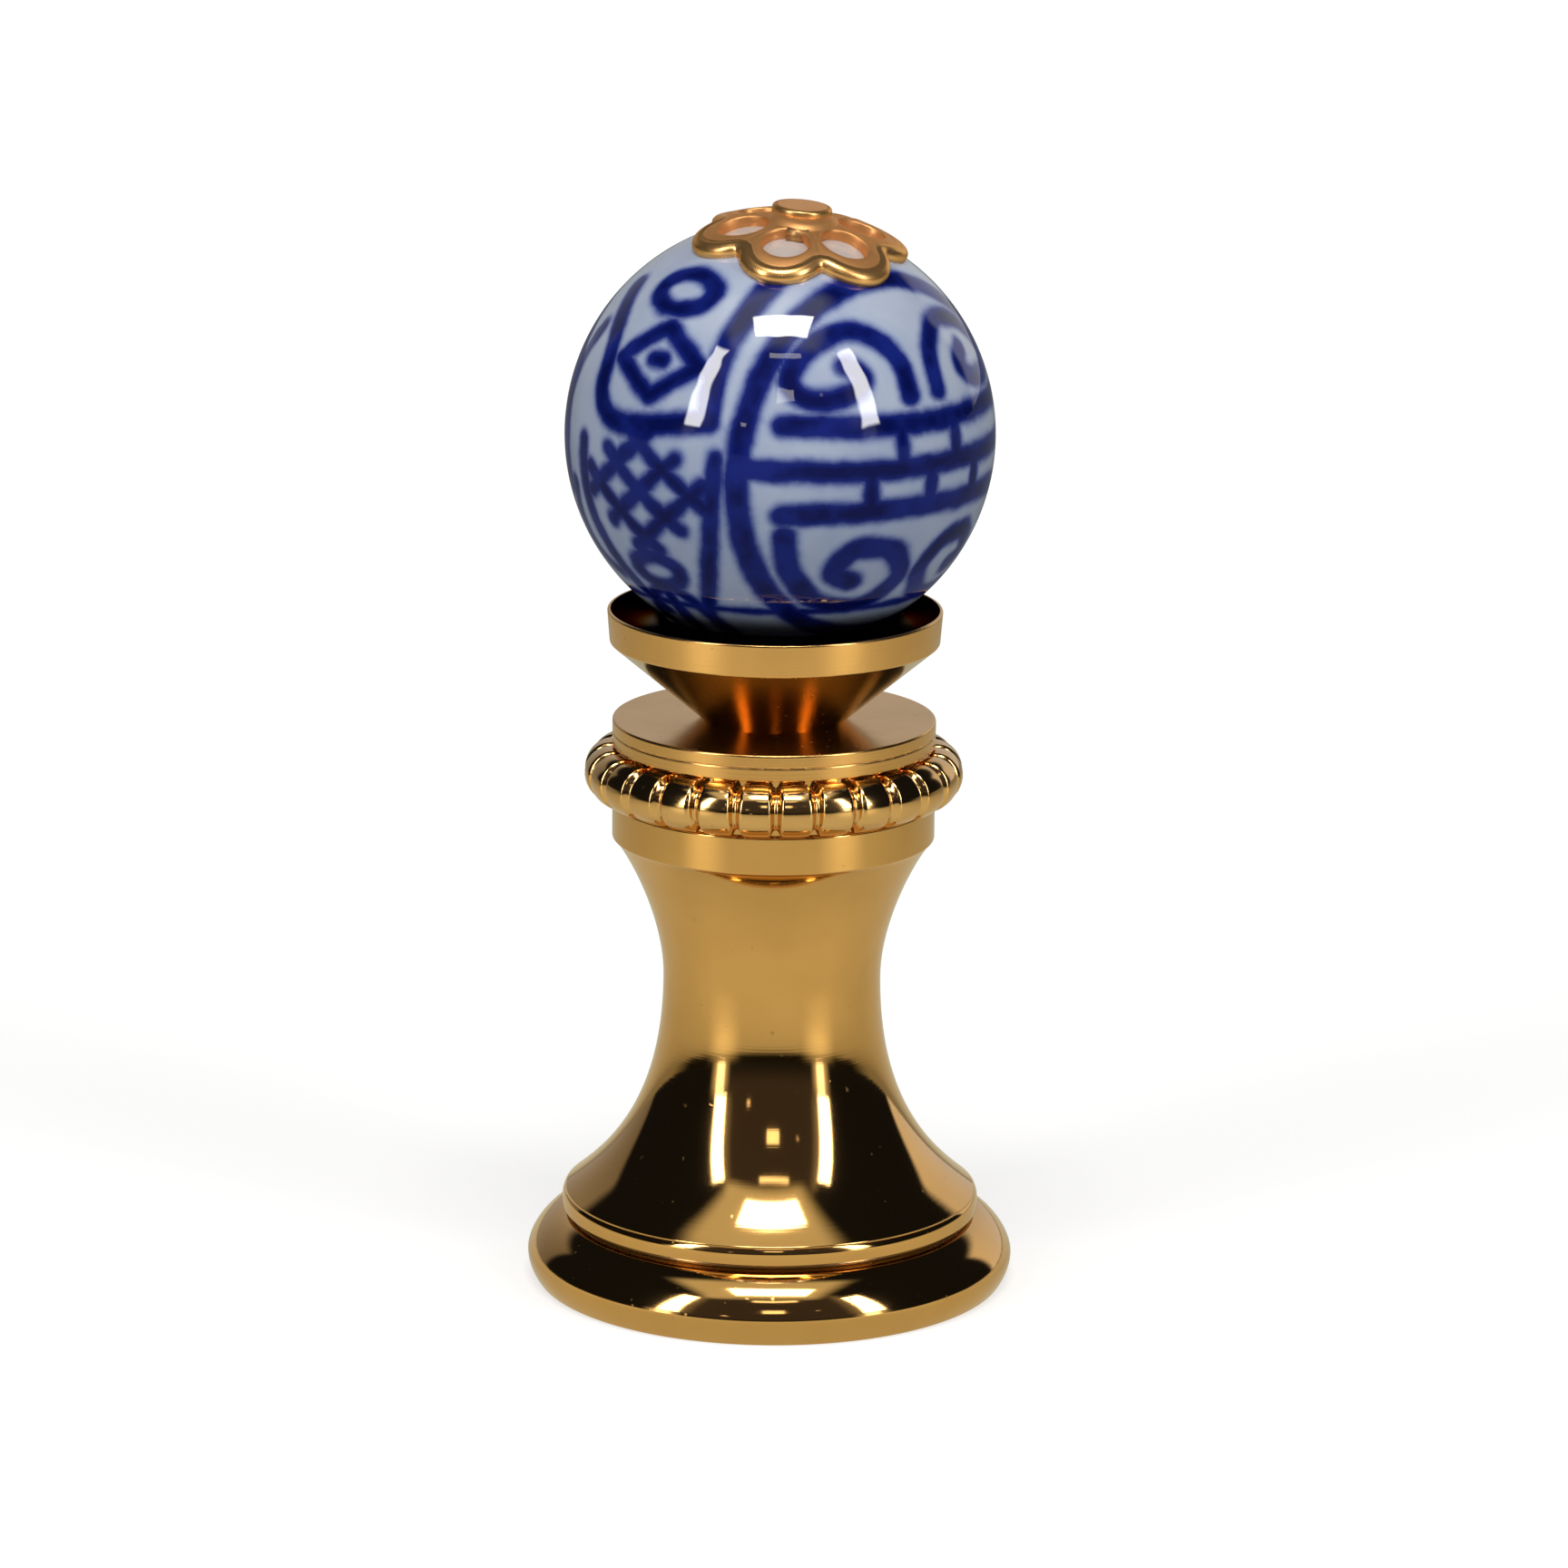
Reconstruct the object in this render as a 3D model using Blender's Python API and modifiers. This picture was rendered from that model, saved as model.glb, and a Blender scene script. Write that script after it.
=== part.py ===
"""Lamp finial: a turned brass base with a beaded ring, a seat cup, a porcelain ball and an openwork cap.

Metres, +Z up. The origin is the middle of the foot's underside, and the front is -Y.
"""

import math

import bmesh
import bpy
from mathutils import Vector
from mathutils.geometry import interpolate_bezier

MM = 0.001

# Threaded hole in the underside, taken at the thread's outer diameter
HOLE_RADIUS = 3.175 * MM
HOLE_DEPTH = 11.0 * MM
HOLE_MOUTH = 0.5 * MM
DRILL_POINT = 1.6 * MM

# Neck and flare: the hollow curve between the band and the collar
NECK_WALL = 1.96 * MM
FLARE_WIDTH = 4.75 * MM
FLARE_HEIGHT = 10.57 * MM
FLARE_WAIST_SHARE = 0.584
FLARE_HEM_ACROSS = 0.469
FLARE_HEM_UP = 0.167
CAPITAL_WIDTH = 2.40 * MM
CAPITAL_HEIGHT = 6.84 * MM
CAPITAL_WAIST_SHARE = 0.397
CAPITAL_HEM_ACROSS = 0.343
CAPITAL_HEM_DOWN = 0.148

# Band, groove and foot
BAND_HEIGHT = 0.73 * MM
GROOVE_DEPTH = 0.36 * MM
GROOVE_HEIGHT = 0.23 * MM
FOOT_HEIGHT = 3.22 * MM
FOOT_OVERHANG = 1.65 * MM
FOOT_WIDEST = 1.22 * MM
FOOT_UNDERCUT = 0.44 * MM
FOOT_ROUNDNESS = 1.6

# Collar, beaded ring and top plate
COLLAR_STEP = 0.05 * MM
COLLAR_HEIGHT = 1.75 * MM
BEADS = 28
BEAD_RADIUS = 1.236 * MM
BEAD_PROJECTION = 1.316 * MM
BEAD_GAP = 0.095 * MM
BEAD_PINCH = 0.20
BEAD_SQUARENESS = 6
BEAD_TURN = math.radians(0.9)
NECKING_DEPTH = 0.28 * MM
PLATE_HEIGHT = 1.235 * MM
PLATE_EDGE = 0.08 * MM

# Seat cup
SEAT_GAP = 0.25 * MM
CUP_FOOT_RADIUS = 3.63 * MM
CUP_CONE_HEIGHT = 3.47 * MM
CUP_RIM_HEIGHT = 1.515 * MM
CUP_RIM_EDGE = 0.08 * MM
CUP_LIP = 1.84 * MM

# Porcelain ball
BALL_RADIUS = 10.0 * MM
BALL_SINK = 1.70 * MM
BALL_OFFSET = 0.15 * MM

# Openwork cap, measured as angles about the ball's centre
PETALS = 6
CAP_GAP = 0.20 * MM
CAP_THICKNESS = 0.30 * MM
CAP_SPREAD = math.radians(29.4)
CAP_MARGIN = 1.08
CAP_NOTCH = math.radians(5.6)
PETAL_SHARPNESS = 1.25
PETAL_TURN = math.radians(-13.0)
OPENING_START = 0.45
OPENING_END = 0.80
OPENING_WIDTH = 0.68
CAP_LEAN = math.radians(5.2)
CAP_NOD = math.radians(7.0)

# Button that holds the cap down
BUTTON_RADIUS = 1.39 * MM
BUTTON_THICKNESS = 0.40 * MM
BUTTON_EDGE = 0.12 * MM

# Fineness of the round shapes
TURN_STEPS = 44
BUTTON_STEPS = 20
CAPITAL_POINTS = 8
FLARE_POINTS = 11
FOOT_TOP_POINTS = 7
FOOT_SIDE_POINTS = 4
SEAT_POINTS = 4
BALL_SEGMENTS = 40
BALL_RINGS = 20
SEGMENTS_PER_BEAD = 4
BEAD_SIDES = 8
DOME_RINGS = 5
PETAL_POINTS = 10
OPENING_POINTS = 12
MERGE = 0.001 * MM

# Levels and radii that follow from the sizes above
NECK_RADIUS = HOLE_RADIUS + NECK_WALL
BAND_RADIUS = NECK_RADIUS + FLARE_WIDTH
GROOVE_RADIUS = BAND_RADIUS - GROOVE_DEPTH
FOOT_RADIUS = BAND_RADIUS + FOOT_OVERHANG
COLLAR_RADIUS = NECK_RADIUS + CAPITAL_WIDTH + COLLAR_STEP
NECKING_RADIUS = COLLAR_RADIUS - NECKING_DEPTH
RING_RADIUS = COLLAR_RADIUS + BEAD_PROJECTION - BEAD_RADIUS

BAND_LOW = FOOT_HEIGHT + GROOVE_HEIGHT
BAND_TOP = BAND_LOW + BAND_HEIGHT
NECK_LEVEL = BAND_TOP + FLARE_HEIGHT
COLLAR_LOW = NECK_LEVEL + CAPITAL_HEIGHT
COLLAR_TOP = COLLAR_LOW + COLLAR_HEIGHT
RING_LEVEL = COLLAR_TOP + BEAD_GAP + BEAD_RADIUS
PLATE_LOW = RING_LEVEL + BEAD_RADIUS + BEAD_GAP
PLATE_TOP = PLATE_LOW + PLATE_HEIGHT

CUP_LOW = PLATE_TOP + SEAT_GAP
CUP_RIM_LOW = CUP_LOW + CUP_CONE_HEIGHT
CUP_TOP = CUP_RIM_LOW + CUP_RIM_HEIGHT
SEAT_RADIUS = BALL_RADIUS + SEAT_GAP
BALL_LEVEL = CUP_TOP - BALL_SINK + BALL_RADIUS
SEAT_MOUTH = math.sqrt(SEAT_RADIUS**2 - (BALL_LEVEL - CUP_TOP) ** 2)
CUP_RADIUS = SEAT_MOUTH + CUP_LIP

CAP_INSIDE = BALL_RADIUS + CAP_GAP
CAP_OUTSIDE = CAP_INSIDE + CAP_THICKNESS
BUTTON_LOW = CAP_OUTSIDE + CAP_GAP
BUTTON_TOP = BUTTON_LOW + BUTTON_THICKNESS


def clear_scene():
    for thing in list(bpy.data.objects):
        bpy.data.objects.remove(thing, do_unlink=True)


def new_collection(name):
    group = bpy.data.collections.new(name)
    bpy.context.scene.collection.children.link(group)
    return group


def make_material(name, colour, roughness, metallic):
    material = bpy.data.materials.new(name)
    material.use_nodes = True
    material.diffuse_color = (*colour, 1.0)
    shader = material.node_tree.nodes["Principled BSDF"]
    shader.inputs["Base Color"].default_value = (*colour, 1.0)
    shader.inputs["Roughness"].default_value = roughness
    shader.inputs["Metallic"].default_value = metallic
    return material


def add_object(name, mesh, group):
    thing = bpy.data.objects.new(name, mesh)
    group.objects.link(thing)
    return thing


def make_cutter(thing):
    """Keeps an object that only shapes another one out of the render."""
    thing.hide_render = True
    thing.display_type = "WIRE"


def profile_mesh(name, points):
    """An open outline of (radius, height) points in the XZ plane, at +X."""
    mesh = bpy.data.meshes.new(name)
    edges = [(i, i + 1) for i in range(len(points) - 1)]
    mesh.from_pydata([(radius, 0.0, height) for radius, height in points], edges, [])
    return mesh


def turned(name, points, group, steps):
    """A solid of revolution: the outline runs down its outer side, top to bottom."""
    thing = add_object(name, profile_mesh(name, points), group)
    screw = thing.modifiers.new("Turn", "SCREW")
    screw.steps = steps
    screw.render_steps = steps
    screw.use_merge_vertices = True
    screw.merge_threshold = MERGE
    screw.use_smooth_shade = True
    return thing


def combine(thing, other, operation):
    """Joins the other object to this one (UNION), or keeps what they share (INTERSECT)."""
    boolean = thing.modifiers.new(operation.capitalize(), "BOOLEAN")
    boolean.operation = operation
    boolean.solver = "EXACT"
    boolean.object = other


def move_to(thing, group):
    """Puts a new primitive into its collection."""
    for holder in list(thing.users_collection):
        holder.objects.unlink(thing)
    group.objects.link(thing)


def weld(mesh):
    """Closes the caps of a mesh made from a curve, with its faces pointing out."""
    work = bmesh.new()
    work.from_mesh(mesh)
    bmesh.ops.remove_doubles(work, verts=work.verts, dist=MERGE)
    bmesh.ops.recalc_face_normals(work, faces=work.faces)
    work.to_mesh(mesh)
    work.free()


def curve_points(start, handle_a, handle_b, end, count):
    """Points of a Bezier stretch, without its first one."""
    knots = [Vector((*pair, 0.0)) for pair in (start, handle_a, handle_b, end)]
    return [(p.x, p.y) for p in interpolate_bezier(*knots, count + 1)[1:]]


def capital_curve():
    """From the collar down to the narrowest circle of the neck."""
    start = (NECK_RADIUS + CAPITAL_WIDTH, COLLAR_LOW)
    end = (NECK_RADIUS, NECK_LEVEL)
    handle_a = (start[0] - CAPITAL_HEM_ACROSS * CAPITAL_WIDTH, COLLAR_LOW - CAPITAL_HEM_DOWN * CAPITAL_HEIGHT)
    handle_b = (NECK_RADIUS, NECK_LEVEL + CAPITAL_WAIST_SHARE * CAPITAL_HEIGHT)
    return [start] + curve_points(start, handle_a, handle_b, end, CAPITAL_POINTS)


def flare_curve():
    """From the narrowest circle down to the band, without the first point."""
    start = (NECK_RADIUS, NECK_LEVEL)
    end = (BAND_RADIUS, BAND_TOP)
    handle_a = (NECK_RADIUS, NECK_LEVEL - FLARE_WAIST_SHARE * FLARE_HEIGHT)
    handle_b = (BAND_RADIUS - FLARE_HEM_ACROSS * FLARE_WIDTH, BAND_TOP + FLARE_HEM_UP * FLARE_HEIGHT)
    return curve_points(start, handle_a, handle_b, end, FLARE_POINTS)


def foot_curve():
    """The foot's round edge, from the groove out to its widest circle and in again to the underside."""
    points = []
    reach = FOOT_RADIUS - GROOVE_RADIUS
    rise = FOOT_HEIGHT - FOOT_WIDEST
    for i in range(FOOT_TOP_POINTS + 1):
        angle = math.radians(90) * i / FOOT_TOP_POINTS
        out = math.sin(angle) ** (2 / FOOT_ROUNDNESS)
        up = math.cos(angle) ** (2 / FOOT_ROUNDNESS)
        points.append((GROOVE_RADIUS + reach * out, FOOT_WIDEST + rise * up))
    for i in range(1, FOOT_SIDE_POINTS + 1):
        drop = i / FOOT_SIDE_POINTS
        points.append((FOOT_RADIUS - FOOT_UNDERCUT * drop**2, FOOT_WIDEST * (1 - drop)))
    return points


def base_profile():
    points = [
        (0.0, PLATE_TOP),
        (COLLAR_RADIUS - PLATE_EDGE, PLATE_TOP),
        (COLLAR_RADIUS, PLATE_TOP - PLATE_EDGE),
        (COLLAR_RADIUS, PLATE_LOW),
        (NECKING_RADIUS, PLATE_LOW),
        (NECKING_RADIUS, COLLAR_TOP),
        (COLLAR_RADIUS, COLLAR_TOP),
        (COLLAR_RADIUS, COLLAR_LOW),
    ]
    points += capital_curve()
    points += flare_curve()
    points += [(BAND_RADIUS, BAND_LOW), (GROOVE_RADIUS, BAND_LOW)]
    points += foot_curve()
    points += [
        (HOLE_RADIUS + HOLE_MOUTH, 0.0),
        (HOLE_RADIUS, HOLE_MOUTH),
        (HOLE_RADIUS, HOLE_DEPTH),
        (0.0, HOLE_DEPTH + DRILL_POINT),
    ]
    return points


def make_bead_ring(group):
    """A torus pinched between its beads, joined to the base."""
    bpy.ops.mesh.primitive_torus_add(
        location=(0.0, 0.0, RING_LEVEL),
        major_segments=BEADS * SEGMENTS_PER_BEAD,
        minor_segments=BEAD_SIDES,
        major_radius=RING_RADIUS,
        minor_radius=BEAD_RADIUS,
    )
    ring = bpy.context.active_object
    ring.name = "bead_ring"
    move_to(ring, group)
    for vertex in ring.data.vertices:
        x, y, z = vertex.co
        turn = math.atan2(y, x)
        centre = Vector((RING_RADIUS * math.cos(turn), RING_RADIUS * math.sin(turn), 0.0))
        across = abs(math.cos(turn * BEADS / 2))
        full = 1.0 - BEAD_PINCH * across**BEAD_SQUARENESS
        vertex.co = centre + (Vector((x, y, z)) - centre) * full
    ring.rotation_euler.z = BEAD_TURN
    make_cutter(ring)
    return ring


def make_base(parts, cutters, brass):
    base = turned("brass_base", base_profile(), parts, TURN_STEPS)
    combine(base, make_bead_ring(cutters), "UNION")
    base.data.materials.append(brass)
    return base


def cup_profile():
    """The dish follows the ball at the seat gap, up to the flat lip."""
    points = []
    mouth_angle = math.asin(SEAT_MOUTH / SEAT_RADIUS)
    for i in range(SEAT_POINTS + 1):
        angle = mouth_angle * i / SEAT_POINTS
        height = BALL_LEVEL - SEAT_RADIUS * math.cos(angle)
        points.append((SEAT_RADIUS * math.sin(angle), height))
    points += [
        (CUP_RADIUS - CUP_RIM_EDGE, CUP_TOP),
        (CUP_RADIUS, CUP_TOP - CUP_RIM_EDGE),
        (CUP_RADIUS, CUP_RIM_LOW),
        (CUP_FOOT_RADIUS, CUP_LOW),
        (0.0, CUP_LOW),
    ]
    return points


def make_cup(parts, brass):
    cup = turned("seat_cup", cup_profile(), parts, TURN_STEPS)
    cup.data.materials.append(brass)
    return cup


def make_ball(parts, glaze):
    bpy.ops.mesh.primitive_uv_sphere_add(
        segments=BALL_SEGMENTS,
        ring_count=BALL_RINGS,
        radius=BALL_RADIUS,
        location=(BALL_OFFSET, 0.0, BALL_LEVEL),
    )
    ball = bpy.context.active_object
    ball.name = "porcelain_ball"
    move_to(ball, parts)
    for face in ball.data.polygons:
        face.use_smooth = True
    ball.data.materials.append(glaze)
    return ball


def make_cap_axis(parts):
    """An empty at the ball's centre, leaning as the cap sits."""
    axis = add_object("cap_axis", None, parts)
    axis.location = (BALL_OFFSET, 0.0, BALL_LEVEL)
    axis.rotation_euler = (CAP_NOD, CAP_LEAN, 0.0)
    return axis


def dome_profile():
    """The cap's sheet before its petals are cut: two arcs about the ball's centre."""
    edge = CAP_SPREAD * CAP_MARGIN
    outer = []
    for i in range(DOME_RINGS + 1):
        angle = edge * i / DOME_RINGS
        outer.append((math.sin(angle), math.cos(angle)))
    points = [(CAP_OUTSIDE * x, CAP_OUTSIDE * z) for x, z in outer]
    points += [(CAP_INSIDE * x, CAP_INSIDE * z) for x, z in reversed(outer)]
    return points


def flower_spline(curve, points):
    spline = curve.splines.new("POLY")
    spline.points.add(len(points) - 1)
    for point, (x, y) in zip(spline.points, points):
        point.co = (x, y, 0.0, 1.0)
    spline.use_cyclic_u = True


def petal_outline():
    points = []
    count = PETALS * PETAL_POINTS
    for i in range(count):
        turn = math.tau * i / count
        tip = abs(math.cos(PETALS * turn / 2)) ** PETAL_SHARPNESS
        reach = CAP_OUTSIDE * math.sin(CAP_SPREAD - CAP_NOTCH * (1 - tip))
        points.append((reach * math.cos(turn), reach * math.sin(turn)))
    return points


def opening_outline(turn):
    """One petal's oval opening."""
    inner = CAP_OUTSIDE * math.sin(CAP_SPREAD * OPENING_START)
    outer = CAP_OUTSIDE * math.sin(CAP_SPREAD * OPENING_END)
    middle = (inner + outer) / 2
    half_length = (outer - inner) / 2
    half_width = middle * math.sin(math.pi / PETALS) * OPENING_WIDTH
    points = []
    for i in range(OPENING_POINTS):
        angle = math.tau * i / OPENING_POINTS
        along = middle + half_length * math.cos(angle)
        across = half_width * math.sin(angle)
        x = along * math.cos(turn) - across * math.sin(turn)
        y = along * math.sin(turn) + across * math.cos(turn)
        points.append((x, y))
    return points


def make_flower(cutters, axis):
    """A straight-sided flower with its openings, which cuts the dome to its petals."""
    curve = bpy.data.curves.new("flower", "CURVE")
    curve.dimensions = "2D"
    curve.fill_mode = "BOTH"
    curve.extrude = BALL_RADIUS / 2
    flower_spline(curve, petal_outline())
    for i in range(PETALS):
        flower_spline(curve, opening_outline(math.tau * i / PETALS))
    outline = add_object("flower_outline", curve, cutters)
    graph = bpy.context.evaluated_depsgraph_get()
    shape = bpy.data.meshes.new_from_object(outline.evaluated_get(graph))
    weld(shape)
    bpy.data.objects.remove(outline, do_unlink=True)
    flower = add_object("flower", shape, cutters)
    flower.parent = axis
    flower.location = (0.0, 0.0, BALL_RADIUS)
    flower.rotation_euler.z = PETAL_TURN - math.pi / 2
    make_cutter(flower)
    return flower


def make_cap(parts, cutters, axis, gilt):
    cap = turned("bead_cap", dome_profile(), parts, TURN_STEPS)
    cap.parent = axis
    combine(cap, make_flower(cutters, axis), "INTERSECT")
    cap.data.materials.append(gilt)
    return cap


def make_button(parts, axis, gilt):
    points = [
        (0.0, BUTTON_TOP),
        (BUTTON_RADIUS - BUTTON_EDGE, BUTTON_TOP),
        (BUTTON_RADIUS, BUTTON_TOP - BUTTON_EDGE),
        (BUTTON_RADIUS, BUTTON_LOW + BUTTON_EDGE),
        (BUTTON_RADIUS - BUTTON_EDGE, BUTTON_LOW),
        (0.0, BUTTON_LOW),
    ]
    button = turned("cap_button", points, parts, BUTTON_STEPS)
    button.parent = axis
    button.data.materials.append(gilt)
    return button


def main():
    clear_scene()
    parts = new_collection("lamp_finial")
    cutters = new_collection("cutters")
    polished = make_material("polished_brass", (0.80, 0.54, 0.20), 0.12, 1.0)
    satin = make_material("satin_brass", (0.76, 0.50, 0.19), 0.28, 1.0)
    glaze = make_material("porcelain_glaze", (0.72, 0.77, 0.86), 0.06, 0.0)
    gilt = make_material("copper_gilt", (0.82, 0.46, 0.22), 0.25, 1.0)
    button_gilt = make_material("button_gilt", (0.80, 0.46, 0.24), 0.35, 1.0)
    make_base(parts, cutters, polished)
    make_cup(parts, satin)
    make_ball(parts, glaze)
    axis = make_cap_axis(parts)
    make_cap(parts, cutters, axis, gilt)
    make_button(parts, axis, button_gilt)


main()
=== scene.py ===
"""A lamp finial on a pale floor.

From the bottom up: a turned brass base, a seat cup, a painted porcelain ball, an openwork cap and its button.
Profiles and places are in millimetres, and make_piece turns them into metres.
"""

import math

import bpy
import numpy as np
from mathutils import Matrix, Vector
from mathutils.geometry import interpolate_bezier

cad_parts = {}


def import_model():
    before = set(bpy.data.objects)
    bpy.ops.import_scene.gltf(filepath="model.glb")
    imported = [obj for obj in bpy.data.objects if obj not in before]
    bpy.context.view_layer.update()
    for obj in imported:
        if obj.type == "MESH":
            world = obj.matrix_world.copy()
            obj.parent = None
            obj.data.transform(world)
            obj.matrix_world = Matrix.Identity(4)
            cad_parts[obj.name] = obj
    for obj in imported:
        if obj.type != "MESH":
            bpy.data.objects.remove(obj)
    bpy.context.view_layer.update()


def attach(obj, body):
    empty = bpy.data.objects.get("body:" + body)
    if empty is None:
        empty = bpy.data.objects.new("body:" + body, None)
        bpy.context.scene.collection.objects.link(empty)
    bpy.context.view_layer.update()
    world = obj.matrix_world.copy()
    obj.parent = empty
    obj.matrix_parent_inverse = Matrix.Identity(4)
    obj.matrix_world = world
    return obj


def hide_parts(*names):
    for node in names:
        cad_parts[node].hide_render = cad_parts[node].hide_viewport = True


MM = 0.001

# Sizes of the solids, in millimetres
HOLE_RADIUS, HOLE_DEPTH, HOLE_MOUTH, DRILL_POINT = 3.175, 11.0, 0.5, 1.6
NECK_RADIUS, BAND_RADIUS, GROOVE_RADIUS, FOOT_RADIUS = 5.135, 9.885, 9.525, 11.535
COLLAR_RADIUS, NECKING_RADIUS, RING_RADIUS, BEAD_RADIUS = 7.585, 7.305, 7.665, 1.236
FOOT_WIDEST, FOOT_HEIGHT, FOOT_UNDERCUT, FOOT_ROUNDNESS = 1.22, 3.22, 0.44, 1.6
BAND_LOW, BAND_TOP, NECK_LEVEL = 3.45, 4.18, 14.75
COLLAR_LOW, COLLAR_TOP, RING_LEVEL = 21.59, 23.34, 24.671
PLATE_LOW, PLATE_TOP = 26.002, 27.237
CUP_LOW, CUP_RIM_LOW, CUP_TOP, CUP_RADIUS = 27.487, 30.957, 32.472, 7.85
CUP_FOOT_RADIUS = 3.63
BALL_X, BALL_LEVEL, BALL_RADIUS = 0.15, 40.772, 10.0

BEADS, BEAD_TURN = 28, math.radians(0.9)
PETALS, PETAL_TURN = 6, math.radians(-15.3)
CAP_LEAN, CAP_NOD = math.radians(5.4), math.radians(7.8)
BUTTON_LEAN, BUTTON_NOD = math.radians(4.9), math.radians(3.5)
BUTTON_RADIUS, BUTTON_TOP, BUTTON_STEM = 1.39, 10.88, 1.05

# Steps round the base and cup, and round the smaller pieces
TURN_STEPS, SMALL_STEPS = 240, 96
# A fillet's points, and how far out its support points lie as a share of it
FILLET_POINTS, FLAT_SUPPORT = 6, 1.35
# The shallow groove round the plate's side: how far down, half its width, and its depth
PLATE_GROOVE, PLATE_GROOVE_HALF, PLATE_GROOVE_DEPTH = 0.60, 0.06, 0.025
# Handles of the two Bezier stretches, as shares of a stretch's width or height
CAPITAL_IN, CAPITAL_DROP, CAPITAL_RISE = 0.343, 0.148, 0.397
FLARE_FALL, FLARE_IN, FLARE_RISE = 0.584, 0.469, 0.167
# The cup's mouth, how far its lip dips to the ball, the rim's taper and the width of the satin on its edge
CUP_MOUTH, LIP_DIP, RIM_TAPER, RIM_EDGE = 5.45, 0.085, 0.12, 0.16


def curve(start, handle_a, handle_b, end, count):
    """Points of a Bezier stretch in a profile, both ends included."""
    knots = [Vector((*pair, 0.0)) for pair in (start, handle_a, handle_b, end)]
    return [(p.x, p.y) for p in interpolate_bezier(*knots, count)]


def rounded(corners):
    """Profile points from corners (radius, height, fillet).

    A support point on each side of a fillet keeps the flats flat.
    """
    points = []
    for i, (r, z, fillet) in enumerate(corners):
        here = np.array((r, z))
        if not fillet or i in (0, len(corners) - 1):
            points.append((r, z))
            continue
        before = np.array(corners[i - 1][:2]) - here
        after = np.array(corners[i + 1][:2]) - here
        before /= np.linalg.norm(before)
        after /= np.linalg.norm(after)
        points.append(tuple(here + before * fillet * FLAT_SUPPORT))
        for t in np.linspace(0.0, 1.0, FILLET_POINTS):
            arm = before * (1 - t) ** 2 + after * t**2
            points.append(tuple(here + arm * fillet))
        points.append(tuple(here + after * fillet * FLAT_SUPPORT))
    return points


def grid_faces(rows, columns):
    """Quads of a grid of vertices that closes on itself, one row of the profile after another."""
    faces = []
    for i in range(rows - 1):
        low, high = i * columns, (i + 1) * columns
        for j in range(columns):
            k = (j + 1) % columns
            faces.append((low + j, high + j, high + k, low + k))
    return faces


def turned(profile, steps):
    """Vertices and faces of a profile turned about the upright axis."""
    turns = np.arange(steps) * math.tau / steps
    profile = np.array(profile)
    x = profile[:, :1] * np.sin(turns)
    y = -profile[:, :1] * np.cos(turns)
    z = np.repeat(profile[:, 1:], steps, axis=1)
    points = np.stack((x, y, z), axis=-1).reshape(-1, 3)
    return points, grid_faces(len(profile), steps)


def make_piece(name, shells, place=None):
    """One smooth-shaded object from shells of points in mm, faces and a material index.

    The index may be a function of a shell's points and a face.
    """
    points, faces, slots = [], [], []
    for shell_points, shell_faces, slot in shells:
        start = sum(len(p) for p in points)
        points.append(np.asarray(shell_points, float))
        faces += [tuple(start + v for v in face) for face in shell_faces]
        slots += [slot(shell_points, face) if callable(slot) else slot for face in shell_faces]
    mesh = bpy.data.meshes.new(name)
    mesh.from_pydata(np.concatenate(points) * MM, [], faces)
    mesh.polygons.foreach_set("material_index", slots)
    mesh.polygons.foreach_set("use_smooth", [True] * len(faces))
    if place is not None:
        mesh.transform(place)
    mesh.update()
    thing = bpy.data.objects.new(name, mesh)
    bpy.context.scene.collection.objects.link(thing)
    return thing


# The base

POLISHED, FINE_SATIN, SATIN, GROOVE_SHADE, BEADED = range(5)


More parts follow.
